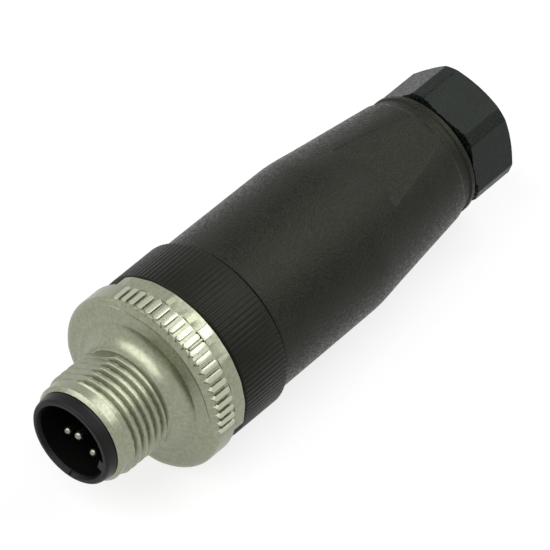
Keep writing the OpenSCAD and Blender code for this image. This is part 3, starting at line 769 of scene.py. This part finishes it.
def rod(x0, x1, radius, reach=0.0):
    """Points and faces of a rod along X, at a height over the axis."""
    points, faces = skin([(x0, 0.0), (x0, radius), (x1, radius), (x1, 0.0)], spread(40))
    return points + np.array([0, 0, reach]), faces


def make_insert():
    line = [(SOCKET_FLOOR_X, 0.0), (SOCKET_FLOOR_X, 0.4), (SOCKET_FLOOR_X, SOCKET_R - 0.05)]
    line += rounded([
        (SOCKET_FLOOR_X, SOCKET_R), (0.45, SOCKET_R, 0.15), (RIM_X, 4.45, 0.06), (RIM_X, 4.85, 0.1),
        (0.2, 5.05, 0.15), (1.05, LIP_R, 0.1), (1.3, LIP_R, 0.05), (1.3, SHROUD_R), (11.55, SHROUD_R),
        (11.55, FLANGE_R, 0.1), (13.55, FLANGE_R, 0.1), (13.55, SEAT_R - 0.03),
        (RING_X + 1, SEAT_R - 0.03), (RING_X + 1, BLOCK_R), (BLOCK_END_X - 0.4, BLOCK_R),
        (BLOCK_END_X, BLOCK_R - 0.4), (BLOCK_END_X, 0.4)])
    line.append((BLOCK_END_X, 0.0))
    insert = piece_of("insert_body", skin(line, spread(240), rim_notch), INSERT_PLASTIC)
    pocket = rod(BARREL_X - GAP, BLOCK_END_X + 1, BARREL_R + 0.03, BARREL_REACH)
    hole = upright(SCREW_X, SCREW_R + 0.03, BARREL_REACH, BLOCK_R + 1)
    tools = [at_angle(part, angle) for angle in PIN_ANGLES for part in (pocket, hole)]
    tools.append(rod(BARREL_X - GAP, BLOCK_END_X + 1, BARREL_R + 0.03))
    tools.append(at_angle(upright(SCREW_X, SCREW_R + 0.03, 0, BLOCK_R + 1), CENTRE_SCREW_ANGLE))
    for tool in tools:
        drilled(insert, tool)
    stands_for(insert, "insert", "insulator", "contact_carrier")
    key = bar(0.35, SOCKET_FLOOR_X + 0.1, 1.2, SOCKET_R + 0.2, SOCKET_R - 0.65, edge=0.1)
    key_piece = piece_of("coding_key", at_angle(key, KEY_ANGLE), INSERT_PLASTIC)
    stands_for(key_piece, "insert", "insulator", "contact_carrier")


def make_contact(node, angle, reach, barrel_reach, tip_x):
    pin = [(tip_x, 0.0)] + [(tip_x + PIN_R * (1 - math.cos(t)), PIN_R * math.sin(t))
                            for t in np.linspace(0.2, math.pi / 2, 7)]
    pin += [(BARREL_X + 0.4, PIN_R), (BARREL_X + 0.4, 0.0)]
    barrel = [(BARREL_X, 0.0), (BARREL_X, BARREL_R - 0.05), (BARREL_X + 0.05, BARREL_R),
              (BARREL_END_X - 0.05, BARREL_R), (BARREL_END_X, BARREL_R - 0.05), (BARREL_END_X, WIRE_R),
              (BARREL_END_X - WIRE_DEPTH, WIRE_R), (BARREL_END_X - WIRE_DEPTH, 0.0)]
    parts = []
    for line, height in ((pin, reach), (barrel, barrel_reach)):
        points, faces = skin(line, spread(40))
        parts.append((points + np.array([0, 0, height]), faces))
    piece = piece_of(node.replace("contact_", ""), at_angle(joined(*parts), angle), CONTACT_METAL)
    stands_for(piece, "insert", "contacts", node)


make_coupling_screw()
make_knurled_ring()
make_sleeve()
make_gland_nut()
make_insert()
for number, angle in enumerate(PIN_ANGLES, 1):
    make_contact(f"contact_pin_{number}", angle, PIN_REACH, BARREL_REACH, 1.75)
make_contact("contact_pin_5", CENTRE_SCREW_ANGLE, 0.0, 0.0, 1.0)

for node, material in (("terminal_screws", STEEL), ("retaining_clip", STEEL), ("sleeve_seal", RUBBER),
                       ("cable_seal", RUBBER), ("clamp_cage", CAGE_PLASTIC)):
    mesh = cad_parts[node].data
    mesh.materials.clear()
    mesh.materials.append(material)


# ------------------------------------------------------------------------------------- floor and light
def background_rays(tree):
    """1 for the rays that show the white surround itself: to the camera, in gloss and through glass."""
    rays = add(tree, "ShaderNodeLightPath")
    seen = add(tree, "ShaderNodeMath", [(rays, "Is Camera Ray"), (rays, "Is Glossy Ray")], operation="ADD")
    return add(tree, "ShaderNodeMath", [seen, (rays, "Is Transmission Ray")], operation="ADD",
               use_clamp=True)


def make_floor():
    low = CAD_BOX[0].z - 0.0002
    size = 3.0
    mesh = bpy.data.meshes.new("floor")
    mesh.from_pydata([(-size, -size, low), (size, -size, low), (size, size, low), (-size, size, low)], [],
                     [(0, 1, 2, 3)])
    floor = bpy.data.objects.new("floor", mesh)
    bpy.context.scene.collection.objects.link(floor)
    material = bpy.data.materials.new("white_table")
    material.use_nodes = True
    tree = material.node_tree
    tree.nodes.clear()
    share = add(tree, "ShaderNodeMath", [background_rays(tree), FLOOR_GLOW], operation="MULTIPLY")
    glow = add(tree, "ShaderNodeEmission", {"Color": (1, 1, 1, 1), "Strength": share})
    paper = add(tree, "ShaderNodeBsdfDiffuse", {"Color": (FLOOR_SHADE, FLOOR_SHADE, FLOOR_SHADE, 1)})
    both = add(tree, "ShaderNodeAddShader", [glow, paper])
    add(tree, "ShaderNodeOutputMaterial", [both])
    floor.data.materials.append(material)


def make_world():
    world = bpy.data.worlds.new("studio")
    bpy.context.scene.world = world
    world.use_nodes = True
    tree = world.node_tree
    tree.nodes.clear()
    strength = add(tree, "ShaderNodeMapRange", {"Value": background_rays(tree), "To Min": WORLD_LIGHT,
                                                "To Max": 1.0})
    sky = add(tree, "ShaderNodeBackground", {"Color": (1, 1, 1, 1), "Strength": strength})
    add(tree, "ShaderNodeOutputWorld", [sky])


def make_lamp(name, way, distance, wide, deep, radiance):
    """A soft box that looks at the middle of the plug from the given way. Its width lies along Y."""
    lamp = bpy.data.lights.new(name, "AREA")
    lamp.shape, lamp.size, lamp.size_y = "RECTANGLE", wide, deep
    lamp.energy = 4 * radiance * wide * deep
    box = bpy.data.objects.new(name, lamp)
    bpy.context.scene.collection.objects.link(box)
    back = Vector(way).normalized()
    side = (Vector((0, 1, 0)) - back.y * back).normalized()
    turn = Matrix((side, back.cross(side), back)).transposed().to_4x4()
    box.matrix_world = Matrix.Translation((CAD_BOX[0] + CAD_BOX[1]) / 2 + distance * back) @ turn


def make_camera():
    right, up = Vector((0.650, -0.760, 0.0)), Vector((0.532, 0.455, 0.714))
    back = right.cross(up)
    camera = bpy.data.cameras.new("camera")
    camera.lens, camera.sensor_width, camera.clip_start, camera.clip_end = 523.6, 36.0, 0.05, 20.0
    viewer = bpy.data.objects.new("camera", camera)
    bpy.context.scene.collection.objects.link(viewer)
    turn = Matrix((right.normalized(), up.normalized(), back.normalized())).transposed().to_4x4()
    viewer.matrix_world = Matrix.Translation((-0.4122, -0.3796, 0.5726)) @ turn
    bpy.context.scene.camera = viewer


FLOOR_SHADE = 0.3
FLOOR_GLOW = 0.78
WORLD_LIGHT = 0.2
make_floor()
make_world()
make_lamp("long_soft_box", (-0.57, 0.12, 0.78), 0.8, 1.4, 0.55, 1.9)
make_lamp("right_soft_box", (0.54, -0.34, 0.76), 0.8, 0.75, 0.5, 2.2)
make_camera()
bpy.context.scene.view_settings.view_transform = "Standard"
